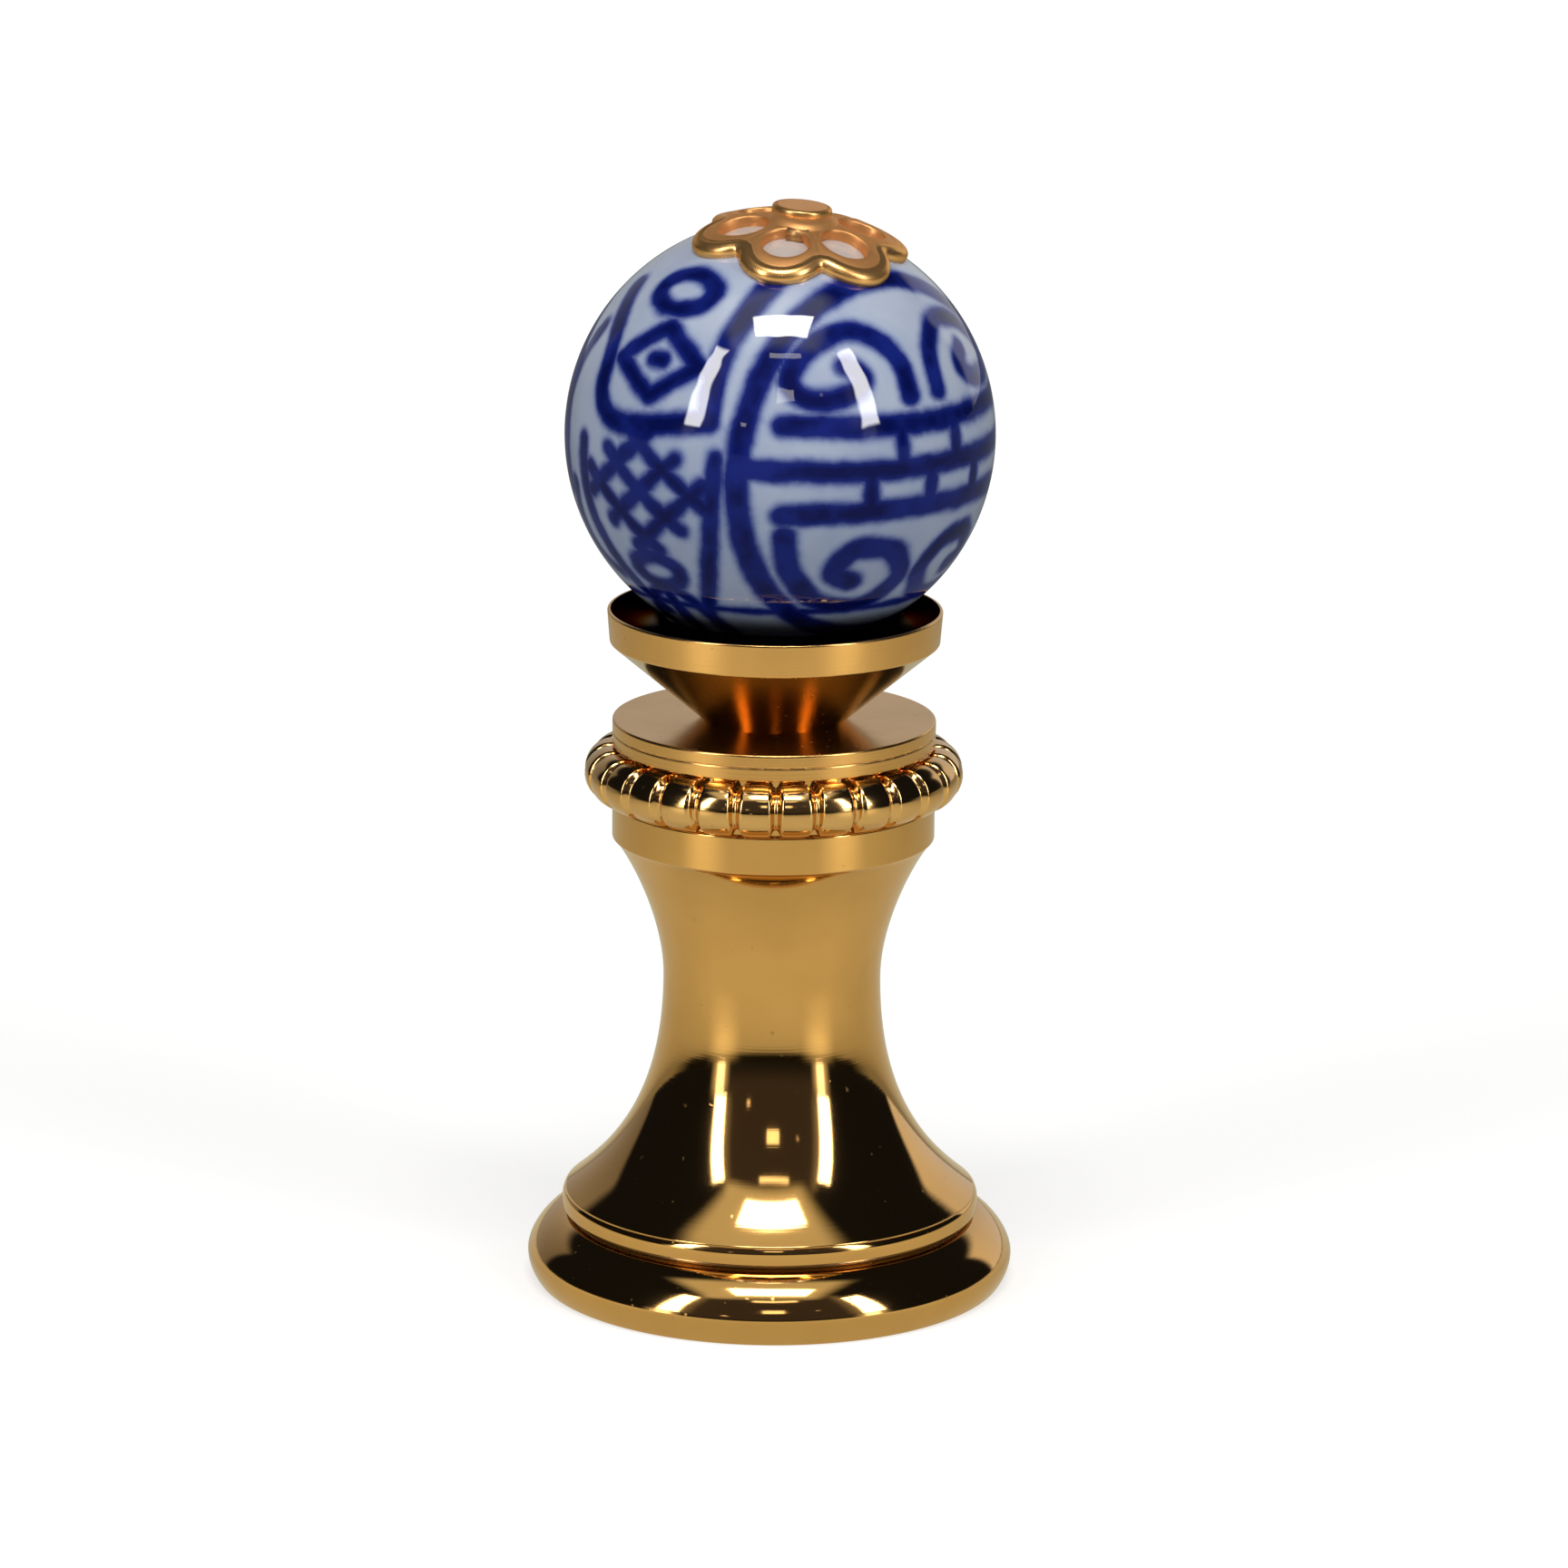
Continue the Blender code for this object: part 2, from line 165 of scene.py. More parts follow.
def base_profile():
    """The whole turned outside from the plate's middle down to the hole's mouth, and the end of the hole."""
    top = rounded(
        [
            (0.01, PLATE_TOP, 0),
            (COLLAR_RADIUS, PLATE_TOP, 0.10),
            (COLLAR_RADIUS, PLATE_TOP - PLATE_GROOVE + PLATE_GROOVE_HALF, 0.03),
            (COLLAR_RADIUS - PLATE_GROOVE_DEPTH, PLATE_TOP - PLATE_GROOVE, 0.02),
            (COLLAR_RADIUS, PLATE_TOP - PLATE_GROOVE - PLATE_GROOVE_HALF, 0.03),
            (COLLAR_RADIUS, PLATE_LOW, 0.07),
            (NECKING_RADIUS, PLATE_LOW, 0.03),
            (NECKING_RADIUS, COLLAR_TOP, 0.03),
            (COLLAR_RADIUS, COLLAR_TOP, 0.09),
            (COLLAR_RADIUS, COLLAR_LOW, 0.04),
            (COLLAR_RADIUS - 0.06, COLLAR_LOW - 0.05, 0),
        ]
    )
    width, height = COLLAR_RADIUS - 0.05 - NECK_RADIUS, COLLAR_LOW - NECK_LEVEL
    capital = curve(
        (NECK_RADIUS + width, COLLAR_LOW),
        (NECK_RADIUS + width * (1 - CAPITAL_IN), COLLAR_LOW - CAPITAL_DROP * height),
        (NECK_RADIUS, NECK_LEVEL + CAPITAL_RISE * height),
        (NECK_RADIUS, NECK_LEVEL),
        48,
    )
    width, height = BAND_RADIUS - NECK_RADIUS, NECK_LEVEL - BAND_TOP
    flare = curve(
        (NECK_RADIUS, NECK_LEVEL),
        (NECK_RADIUS, NECK_LEVEL - FLARE_FALL * height),
        (BAND_RADIUS - FLARE_IN * width, BAND_TOP + FLARE_RISE * height),
        (BAND_RADIUS, BAND_TOP),
        72,
    )
    band = rounded(
        [
            flare[-2] + (0,),
            (BAND_RADIUS, BAND_TOP, 0.28),
            (BAND_RADIUS, BAND_LOW, 0.05),
            (GROOVE_RADIUS, BAND_LOW, 0.04),
            (GROOVE_RADIUS, FOOT_HEIGHT, 0),
        ]
    )
    foot = []
    reach, rise = FOOT_RADIUS - GROOVE_RADIUS, FOOT_HEIGHT - FOOT_WIDEST
    for angle in np.linspace(0, math.pi / 2, 40):
        out = math.sin(angle) ** (2 / FOOT_ROUNDNESS)
        up = math.cos(angle) ** (2 / FOOT_ROUNDNESS)
        foot.append((GROOVE_RADIUS + reach * out, FOOT_WIDEST + rise * up))
    for drop in np.linspace(0, 0.9, 14)[1:]:
        foot.append((FOOT_RADIUS - FOOT_UNDERCUT * drop**2, FOOT_WIDEST * (1 - drop)))
    underside = rounded(
        [
            foot[-1] + (0,),
            (FOOT_RADIUS - FOOT_UNDERCUT, 0.0, 0.09),
            (HOLE_RADIUS + HOLE_MOUTH, 0.0, 0.05),
            (HOLE_RADIUS, HOLE_MOUTH, 0),
        ]
    )
    bore = [(HOLE_RADIUS, HOLE_DEPTH), (0.01, HOLE_DEPTH + DRILL_POINT)]
    return top[:-1] + capital[1:] + flare[1:-1] + band[1:-1] + foot + underside[1:], bore


def base_slot(points, face):
    """Fine satin on the plate's top, satin on its side, darker brass as painted shade in the groove over the
    foot, polished elsewhere.
    """
    level = np.mean([points[v][2] for v in face])
    if level > PLATE_TOP - 0.02:
        return FINE_SATIN
    if level > PLATE_LOW:
        return SATIN
    # The groove over the foot gets painted shade
    return GROOVE_SHADE if FOOT_HEIGHT - 0.03 < level < BAND_LOW + 0.02 else POLISHED


def bead_ring(
    steps_per_bead=28, sides=28, spread=118.0, flat=0.64, slope=0.25, belly=0.045, groove=0.23, curl=1.9
):
    """The outer side of the beaded ring: barrels on a round bar, with a narrow groove between them.

    Across a bead, from its middle at 0 to the groove at 1, it is nearly level up to flat, and it falls over
    the next slope to the groove's bottom.
    """
    steps = BEADS * steps_per_bead
    turns = np.arange(steps) * math.tau / steps
    across = np.abs(((turns * BEADS / math.tau) % 1.0) * 2 - 1)
    shoulder = np.clip((across - flat) / slope, 0, 1)
    full = 1.0 - belly * across**2 - groove * shoulder**curl
    around = np.radians(np.linspace(-spread, spread, sides))
    radius = RING_RADIUS + BEAD_RADIUS * np.cos(around)[:, None] * full
    height = RING_LEVEL + BEAD_RADIUS * np.sin(around)[:, None] * full
    turns = turns + BEAD_TURN
    points = np.stack((radius * np.sin(turns), -radius * np.cos(turns), height), axis=-1)
    points = points.reshape(-1, 3)
    faces = [tuple(reversed(face)) for face in grid_faces(sides, steps)]
    return points, faces


def bore_thread(pitch=0.94, depth=0.5, sharpness=2.6, steps=72, rows=110):
    """The threaded wall of the hole, with one ridge running round as it climbs."""
    levels = np.linspace(HOLE_MOUTH, HOLE_DEPTH, rows)[:, None]
    turns = np.arange(steps) * math.tau / steps
    phase = (levels / pitch - turns / math.tau) % 1.0
    ridge = np.clip(1.0 - np.abs(phase - 0.5) * sharpness, 0, 1)
    fade = np.clip((levels - HOLE_MOUTH) / pitch, 0, 1)
    radius = HOLE_RADIUS - depth * ridge * fade
    z = np.repeat(levels, steps, axis=1)
    points = np.stack((radius * np.sin(turns), -radius * np.cos(turns), z), axis=-1)
    return points.reshape(-1, 3), grid_faces(rows, steps)


# The cup

LIP, RIM, CONE = range(3)


def cup_profile():
    """A seat that follows the ball, a nearly level lip, the rim and the cone."""
    seat = []
    for angle in np.linspace(0.002, math.asin(CUP_MOUTH / BALL_RADIUS), 16)[:-1]:
        seat.append((BALL_RADIUS * math.sin(angle), BALL_LEVEL - BALL_RADIUS * math.cos(angle)))
    slope = (CUP_RADIUS - CUP_FOOT_RADIUS) / (CUP_RIM_LOW - CUP_LOW)
    foot_radius = CUP_FOOT_RADIUS - (CUP_LOW - PLATE_TOP) * slope
    rim = rounded(
        [
            seat[-1] + (0,),
            (CUP_MOUTH, CUP_TOP - LIP_DIP, 0),
            (CUP_RADIUS, CUP_TOP, 0.11),
            (CUP_RADIUS - RIM_TAPER, CUP_RIM_LOW, 0.05),
            (foot_radius, PLATE_TOP, 0),
        ]
    )
    return seat + rim[1:]


def cup_slot(points, face):
    """Polished lip darkened with painted shade, satin rim, finely turned cone in a darker brass as painted
    shade.
    """
    middle = np.mean([points[v] for v in face], axis=0)
    if middle[2] < CUP_RIM_LOW:
        return CONE
    return RIM if math.hypot(middle[0], middle[1]) > CUP_RADIUS - RIM_EDGE else LIP


# The ball

MEDALLION_AZIMUTH, MEDALLION_ELEVATION, MEDALLION_RADIUS = 43.8, -1.7, 9.6
PANEL_AZIMUTH = -40
SEAT_RING_ELEVATION = -43.0
# Depth in the paint, in mm, of a place far from every stroke
BARE = -3.0


def direction(azimuth, elevation):
    """A unit vector from degrees: azimuth 0 is the front, positive to the right."""
    a, e = np.radians(azimuth), np.radians(elevation)
    return np.array((np.sin(a) * np.cos(e), -np.cos(a) * np.cos(e), np.sin(e)))


def on_ball(azimuth, elevation, points):
    """Places on the ball of flat points (mm right, mm up) about a centre."""
    forward = direction(azimuth, elevation)
    right = direction(azimuth + 90, 0)
    upward = np.cross(forward, right)
    placed = []
    for u, v in points:
        reach = math.hypot(u, v)
        angle = reach / BALL_RADIUS
        way = (right * u + upward * v) / max(reach, 1e-9)
        placed.append(forward * math.cos(angle) + way * math.sin(angle))
    return np.array(placed) * BALL_RADIUS


def brush(points, count=10):
    """A smooth stroke through points, as a brush would take them."""
    points = [points[0], *points, points[-1]]
    path = []
    for a, b, c, d in zip(points, points[1:], points[2:], points[3:]):
        a, b, c, d = map(np.array, (a, b, c, d))
        for t in np.linspace(0, 1, count, endpoint=False):
            bend = (2 * a - 5 * b + 4 * c - d) * t**2 + (3 * b - a - 3 * c + d) * t**3
            path.append(0.5 * (2 * b + (c - a) * t + bend))
    return [*path, np.array(points[-1])]


def ring_points(wide, high, count=40):
    """An oval's points about the middle, from its half width and half height."""
    turns = np.radians(np.linspace(0, 360, count))
    return [(wide * math.cos(t), high * math.sin(t)) for t in turns]


# Scrollwork of a round medallion: (half width, points) in mm from its middle, drawn on its left and right
SCROLLS = [
    (
        0.53,
        [
            (0.9, 3.7), (1.1, 5.5), (2.7, 7.0), (5.0, 6.7), (6.7, 5.2),
            (6.2, 4.0), (4.4, 3.9), (3.2, 4.6), (3.9, 5.4),
        ],
    ),
    (
        0.58,
        [
            (7.1, -3.0), (6.5, -4.9), (4.5, -6.8), (1.9, -6.9), (0.7, -5.2),
            (1.6, -3.7), (3.6, -3.5), (4.4, -4.8), (3.3, -5.4),
        ],
    ),
]
BARS = [
    (0.54, [(-7.4, 2.75), (-3.5, 2.45), (0.0, 2.35), (3.5, 2.45), (7.4, 2.75)]),
    (0.53, [(-9.3, 0.55), (-4.0, 0.40), (4.0, 0.40), (9.3, 0.55)]),
    (0.54, [(-7.4, -1.75), (-3.5, -1.55), (0.0, -1.5), (3.5, -1.55), (7.4, -1.75)]),
    (0.43, [(-1.7, 2.4), (-1.7, 0.4)]),
    (0.43, [(1.7, 2.4), (1.7, 0.4)]),
    (0.43, [(0.0, 0.4), (0.0, -1.5)]),
    (0.43, [(-3.3, 0.4), (-3.3, -1.6)]),
    (0.43, [(3.3, 0.4), (3.3, -1.6)]),
]
# Borders between two medallions: (half width, points) in degrees round and up
BORDERS = [
    (
        0.56,
        [
            (-74.2, 46.8), (-66, 37), (-60.5, 27.9), (-58.2, 17),
            (-51, 10.6), (-38, 10.8), (-25, 12.6), (-19.6, 13.5),
        ],
    ),
    (0.58, [(-19.6, 13.5), (-17.3, 32.6), (-6.1, 51.7), (6, 59), (24, 63)]),
    (0.48, [(-64, 3), (-63.5, -14), (-58, -32), (-49, -47)]),
    (0.44, [(-17, 4), (-18.5, -14), (-22, -32), (-27, -47)]),
    (0.46, [(-74.5, 32.7), (-79.7, 17.8), (-78, 1), (-77, -12)]),
    (0.46, [(-72, -10), (-74, -21), (-70, -31), (-62, -35)]),
]
LOZENGE = [(0.0, 1.7), (2.3, 0.0), (0.0, -1.7), (-2.3, 0.0), (0.0, 1.7)]


def mirrored(points, side):
    return [(side * u, v) for u, v in points]


def paint_strokes():
    """Every stroke on the ball as (half width, path in 3-D), the same on the front and the back."""
    strokes = []
    for turn in (0, 180):
        middle = (MEDALLION_AZIMUTH + turn, MEDALLION_ELEVATION)
        strokes.append((0.60, on_ball(*middle, ring_points(MEDALLION_RADIUS, MEDALLION_RADIUS, 90))))
        for width, points in SCROLLS:
            strokes += [(width, on_ball(*middle, mirrored(brush(points), side))) for side in (-1, 1)]
        strokes += [(width, on_ball(*middle, brush(points))) for width, points in BARS]
        for width, points in BORDERS:
            path = [direction(azimuth + turn, elevation) for azimuth, elevation in brush(points)]
            strokes.append((width, np.array(path) * BALL_RADIUS))
        strokes += panel_strokes(PANEL_AZIMUTH + turn)
    seat_ring = [direction(azimuth, SEAT_RING_ELEVATION) * BALL_RADIUS for azimuth in range(0, 361, 5)]
    return [*strokes, (0.27, np.array(seat_ring))]


def panel_strokes(azimuth):
    """A ring, a lozenge, a woven knot and a tassel, one under another."""
    strokes = [
        (0.50, on_ball(azimuth - 1, 49, ring_points(1.55, 1.05))),
        (0.46, on_ball(azimuth + 1, 28, straight(LOZENGE))),
        (0.42, on_ball(azimuth + 1, 28, [(-0.3, 0.0), (0.3, 0.0)])),
        (0.45, on_ball(azimuth, -31, ring_points(1.25, 0.85))),
        (0.42, on_ball(azimuth, -44, straight([(0.0, 1.2), (0.0, -2.4)]))),
        (0.42, on_ball(azimuth, -44, brush([(-0.5, 1.2), (-1.4, 0.0), (-1.8, -2.2)]))),
        (0.42, on_ball(azimuth, -44, brush([(0.5, 1.2), (1.4, 0.0), (1.8, -2.2)]))),
    ]
    # The knot: three strands each way, squeezed to fit between the borders
    reach, spacing, squeeze_u, squeeze_v = 2.6, 1.75, 0.78, 0.66
    for offset in (-spacing, 0.0, spacing):
        for side in (1, -1):
            ends = [
                ((along - side * offset) * squeeze_u, (side * along + offset) * squeeze_v)
                for along in (-reach, reach)
            ]
            strokes.append((0.42, on_ball(azimuth, -7, straight(ends))))
    return strokes


def straight(points, step=0.25):
    """Points along a path of straight runs, so that they bend with the ball."""
    path = []
    for (u0, v0), (u1, v1) in zip(points, points[1:]):
        count = max(2, int(math.hypot(u1 - u0, v1 - v0) / step))
        shares = np.linspace(0, 1, count, endpoint=False)
        path += [(u0 + (u1 - u0) * t, v0 + (v1 - v0) * t) for t in shares]
    return [*path, points[-1]]


def paint_depth(points):
    """How far inside the nearest stroke each point lies, in mm (negative outside)."""
    depth = np.full(len(points), BARE)
    for width, path in paint_strokes():
        near = np.full(len(points), np.inf)
        for a, b in zip(path, path[1:]):
            run = b - a
            share = np.clip((points - a) @ run / max(run @ run, 1e-9), 0, 1)
            gap = np.linalg.norm(points - a - share[:, None] * run, axis=1)
            near = np.minimum(near, gap)
        depth = np.maximum(depth, width - near)
    return depth


def make_ball(rings=200, segments=400):
    """The ball, with the paint's depth at each vertex for its glaze."""
    tilts = np.linspace(0.001, math.pi - 0.001, rings)
    profile = [(BALL_RADIUS * math.sin(t), BALL_RADIUS * math.cos(t)) for t in tilts]
    points, faces = turned(profile, segments)
    depth = paint_depth(points)
    ball = make_piece("painted_ball", [(points, faces, 0)])
    ball.data.transform(Matrix.Translation((BALL_X * MM, 0, BALL_LEVEL * MM)))
    layer = ball.data.attributes.new("paint", "FLOAT", "POINT")
    layer.data.foreach_set("value", depth)
    return ball


# The cap. A place on it is its turn, its distance from the middle along the ball, and its height over it.

SHEET_SLOT, EDGE_SLOT, TAB_SLOT = range(3)
TIP_REACH, NOTCH_REACH = 5.20, 3.88
# How round the notches and how full the petals are
NOTCH_ROUNDING, PETAL_FULLNESS = 0.012, 0.38
OUTLINE_STEPS = PETALS * 60
OPENING_MIDDLE, OPENING_LONG, OPENING_WIDE = 2.70, 1.12, 1.05
HUB_REACH = 1.50
SHEET = 0.52
# The sheet under the rolled edge ends this far in from the outline
SHEET_MARGIN = 0.74
# Rolled edge of the sheet: (distance in from the outline, height). Its first rings are as dull as the sheet.
EDGE = [
    (0.84, SHEET), (0.76, 0.517), (0.70, 0.508), (0.64, 0.503), (0.58, 0.512), (0.52, 0.532),
    (0.46, 0.545), (0.40, 0.542), (0.33, 0.527), (0.26, 0.503), (0.19, 0.468), (0.13, 0.42),
    (0.08, 0.36), (0.04, 0.28), (0.012, 0.18), (0.0, 0.08), (0.01, 0.0),
]
DULL_RINGS = 3
# From the middle of the hub out to the sheet: (distance, height)
HUB = [(0.01, 0.74), (1.10, 0.71), (1.34, 0.65), (1.46, 0.56), (1.54, SHEET), (1.60, SHEET - 0.02)]


def cap_point(turn, reach, lift):
    """A place on the cap, in mm from the ball's middle."""
    angle, side = reach / BALL_RADIUS, turn + PETAL_TURN
    radius = BALL_RADIUS + lift
    x, y = math.sin(angle) * math.sin(side), -math.sin(angle) * math.cos(side)
    return radius * x, radius * y, radius * math.cos(angle)


def petal_reach(turn):
    """How far out the flower's outline lies."""
    wave = (math.cos(PETALS * turn / 2) ** 2 + NOTCH_ROUNDING) / (1 + NOTCH_ROUNDING)
    return NOTCH_REACH + (TIP_REACH - NOTCH_REACH) * wave**PETAL_FULLNESS


def flower_outline():
    """The outline as flat points, with its inward directions."""
    turns = np.arange(OUTLINE_STEPS) * math.tau / OUTLINE_STEPS
    reach = np.array([petal_reach(t) for t in turns])
    flat = np.stack((np.sin(turns), np.cos(turns)), axis=1) * reach[:, None]
    along = np.roll(flat, -1, axis=0) - np.roll(flat, 1, axis=0)
    inward = np.stack((along[:, 1], -along[:, 0]), axis=1)
    inward /= np.linalg.norm(inward, axis=1)[:, None]
    inward *= -np.sign((inward * flat).sum(axis=1))[:, None]
    return flat, inward


def rolled_edge():
    """The sheet's edge all round the flower, ring by ring from the sheet to the ball."""
    flat, inward = flower_outline()
    points = []
    for depth, height in EDGE:
        for u, v in flat + inward * depth:
            points.append(cap_point(math.atan2(u, v), math.hypot(u, v), height))
    faces = grid_faces(len(EDGE), OUTLINE_STEPS)
    split = (DULL_RINGS - 1) * OUTLINE_STEPS
    return [(points, faces[:split], SHEET_SLOT), (points, faces[split:], EDGE_SLOT)]


def sheet_limit(psi, outline, half, farthest=4.0, halvings=24):
    """How far the sheet reaches from its opening's middle in one direction, found by halving."""
    ray = np.array((math.sin(psi), math.cos(psi)))
    low, high = 0.0, farthest
    for _ in range(halvings):
        middle = (low + high) / 2
        u, v = ray[0] * middle, ray[1] * middle + OPENING_MIDDLE
        reach, turn = math.hypot(u, v), math.atan2(u, v)
        inside = HUB_REACH < reach and abs(turn) < half
        if inside:
            gap = np.hypot(outline[:, 0] - u, outline[:, 1] - v).min()
            inside = gap > SHEET_MARGIN and reach < petal_reach(turn)
        low, high = (middle, high) if inside else (low, middle)
    return low


def petal_sheet(k, psis, limits):
    """The flat sheet of one petal round its opening, with the opening's wall."""
    base = k * math.tau / PETALS
    points = []
    for psi, far in zip(psis, limits):
        near = 1 / math.hypot(math.sin(psi) / OPENING_WIDE, math.cos(psi) / OPENING_LONG)
        start = near + 0.10
        section = [(near + 0.02, 0.0), (near, 0.12), (near, SHEET - 0.10), (near + 0.03, SHEET - 0.03)]
        section += [(start + (far - start) * share, SHEET) for share in (0.0, 0.33, 0.67)]
        section.append((far, SHEET - 0.02))
        for out, height in section:
            u, v = math.sin(psi) * out, math.cos(psi) * out + OPENING_MIDDLE
            points.append(cap_point(math.atan2(u, v) + base, math.hypot(u, v), height))
    count, total = len(section), len(psis)
    faces = []
    for i in range(total):
        j = (i + 1) % total
        for row in range(count - 1):
            faces.append((i * count + row, i * count + row + 1, j * count + row + 1, j * count + row))
    return points, faces, SHEET_SLOT


def make_cap(place):
    """Six petals with oval openings, a rolled edge, the hub under the button and the small tab in front."""
    half = math.pi / PETALS
    corners = []
    for side in (-1, 1):
        for reach in (HUB_REACH, NOTCH_REACH - SHEET_MARGIN):
            corners.append(math.atan2(reach * math.sin(side * half), reach * math.cos(half) - OPENING_MIDDLE))
    psis = sorted([*np.linspace(-math.pi, math.pi, SMALL_STEPS, endpoint=False), *corners])
    outline = flower_outline()[0]
    limits = [sheet_limit(psi, outline, half + 1e-6) for psi in psis]
    shells = [petal_sheet(k, psis, limits) for k in range(PETALS)]
    shells += rolled_edge()
    turns = np.arange(SMALL_STEPS) * math.tau / SMALL_STEPS
    points = [cap_point(turn, reach, lift) for reach, lift in HUB for turn in turns]
    shells.append((points, grid_faces(len(HUB), SMALL_STEPS), SHEET_SLOT))
    shells.append(tab())
    return make_piece("openwork_cap", shells, place)


def tab(width=0.94, turn=math.radians(7.0), thick=0.16):
    """A small strip that bends down from the hub into the front opening."""
    path = [(1.40, 0.56), (1.62, 0.535), (1.74, 0.47), (1.81, 0.30), (1.86, 0.03)]
    under = [(reach - thick, lift - thick / 2) for reach, lift in path]
    points = []
    for side in (-1, 1):
        for reach, lift in [*path, *under]:
            bend = math.asin(side * width / 2 / reach)
            points.append(cap_point(turn + bend, reach, lift))
    n = len(path)
    faces = []
    for i in range(n - 1):
        faces.append((i, i + 1, 2 * n + i + 1, 2 * n + i))
        faces.append((i, n + i, n + i + 1, i + 1))
        faces.append((2 * n + i, 2 * n + i + 1, 3 * n + i + 1, 3 * n + i))
    faces.append((n - 1, 2 * n - 1, 4 * n - 1, 3 * n - 1))
    return points, faces, TAB_SLOT


TOP_SLOT, SIDE_SLOT = range(2)


def make_button(place):
    """The button: a flat matt top with a rounded polished side."""
    rim = (BUTTON_RADIUS - 0.16, BUTTON_TOP - 0.008)
    top = [(0.01, BUTTON_TOP), (0.6, BUTTON_TOP - 0.002), rim]
    side = rounded(
        [
            rim + (0,),
            (BUTTON_RADIUS - 0.01, BUTTON_TOP - 0.02, 0.15),
            (BUTTON_RADIUS, BUTTON_TOP - 0.46, 0.14),
            (BUTTON_RADIUS - 0.22, BUTTON_TOP - 0.49, 0.05),
            (BUTTON_STEM, BUTTON_TOP - 0.50, 0.03),
            (BUTTON_STEM, BUTTON_TOP - 0.64, 0),
        ]
    )
    shells = [(*turned(top, SMALL_STEPS), TOP_SLOT), (*turned(side, SMALL_STEPS), SIDE_SLOT)]
    return make_piece("button_head", shells, place)


# Materials


class Tree:
    """Short names for building a node tree."""

    def __init__(self, owner):
        owner.use_nodes = True
        self.tree = owner.node_tree
        self.nodes = self.tree.nodes

    def add(self, kind, **settings):
        node = self.nodes.new("ShaderNode" + kind)
        for key, value in settings.items():
            setattr(node, key, value)
        return node

    def link(self, source, target):
        self.tree.links.new(source, target)

    def put(self, value, socket):
        """Link a socket, or set a number or colour on it."""
        if isinstance(value, (int, float, tuple)):
            socket.default_value = value
        else:
            self.link(value, socket)

    def math(self, operation, a, b=0.0, c=0.0):
        node = self.add("Math", operation=operation)
        for value, socket in zip((a, b, c), node.inputs):
            self.put(value, socket)
        return node.outputs[0]

    def ramp(self, value, low, high, out_low=0.0, out_high=1.0, smooth=True):
        node = self.add("MapRange", interpolation_type="SMOOTHSTEP" if smooth else "LINEAR")
        self.put(value, node.inputs["Value"])
        ends = {"From Min": low, "From Max": high, "To Min": out_low, "To Max": out_high}
        for name, number in ends.items():
            node.inputs[name].default_value = number
        return node.outputs["Result"]

    def mix(self, share, a, b):
        node = self.add("Mix", data_type="RGBA")
        self.put(share, node.inputs["Factor"])
        self.put(a, node.inputs[6])
        self.put(b, node.inputs[7])
        return node.outputs[2]

    def noise(self, vector, scale, detail=2.0, roughness=0.5):
        node = self.add("TexNoise")
        self.link(vector, node.inputs["Vector"])
        node.inputs["Scale"].default_value = scale
        node.inputs["Detail"].default_value = detail
        node.inputs["Roughness"].default_value = roughness
        return node.outputs["Fac"]

    def bump(self, height, strength, distance, normal=None):
        node = self.add("Bump")
        node.inputs["Strength"].default_value = strength
        node.inputs["Distance"].default_value = distance
        self.link(height, node.inputs["Height"])
        if normal is not None:
            self.link(normal, node.inputs["Normal"])
        return node.outputs["Normal"]


def new_material(name):
    """A material with its tree and its Principled shader."""
    material = bpy.data.materials.new(name)
    tree = Tree(material)
    return material, tree, tree.nodes["Principled BSDF"]


def metal(
    name, colour, dark, roughness, marks,
    waves=0.05, specks=0.12, edge=(1.0, 1.0, 1.0), shade=None, metallic=1.0,
):
    """Turned metal: rings of fine tool marks, soft blotches in the lacquer and small specks.

    With shade, a pair of radii, it has painted shade: darker inside the first and clear of that outside the
    second.
    """
    material, tree, shader = new_material(name)
    place = tree.add("TexCoord").outputs["Object"]
    split = tree.add("SeparateXYZ")
    tree.link(place, split.inputs[0])
    x, y, z = split.outputs
    radius = tree.math("SQRT", tree.math("ADD", tree.math("MULTIPLY", x, x), tree.math("MULTIPLY", y, y)))
    rings = tree.add("CombineXYZ")
    tree.link(radius, rings.inputs[0])
    tree.link(z, rings.inputs[1])
    lathe = tree.noise(rings.outputs[0], scale=9000.0, detail=3.0, roughness=0.6)
    wave = tree.noise(place, scale=260.0)
    speck = tree.ramp(tree.noise(place, scale=2600.0, detail=1.0), 0.735, 0.79)
    blotch = tree.noise(place, scale=420.0, detail=3.0)
    tint = tree.mix(tree.ramp(blotch, 0.35, 0.75, 0.0, 0.5), (*colour, 1.0), (*dark, 1.0))
    tint = tree.mix(tree.math("MULTIPLY", speck, specks), tint, (*[c * 0.45 for c in dark], 1.0))
    # Painted shade: the colour darkens towards the middle, inside the first radius
    if shade:
        tint = tree.mix(tree.ramp(radius, *shade, 0.94, 0.0), tint, (0.05, 0.03, 0.015, 1.0))
    tree.link(tint, shader.inputs["Base Color"])
    shader.inputs["Metallic"].default_value = metallic
    shader.inputs["Specular Tint"].default_value = (*edge, 1.0)
    uneven = tree.ramp(blotch, 0.3, 0.8, roughness * 0.85, roughness * 1.2)
    tree.link(tree.math("ADD", uneven, tree.math("MULTIPLY", speck, 0.2)), shader.inputs["Roughness"])
    normal = tree.bump(lathe, marks, distance=0.01 * MM)
    normal = tree.bump(wave, waves, distance=0.1 * MM, normal=normal)
    tree.link(normal, shader.inputs["Normal"])
    return material


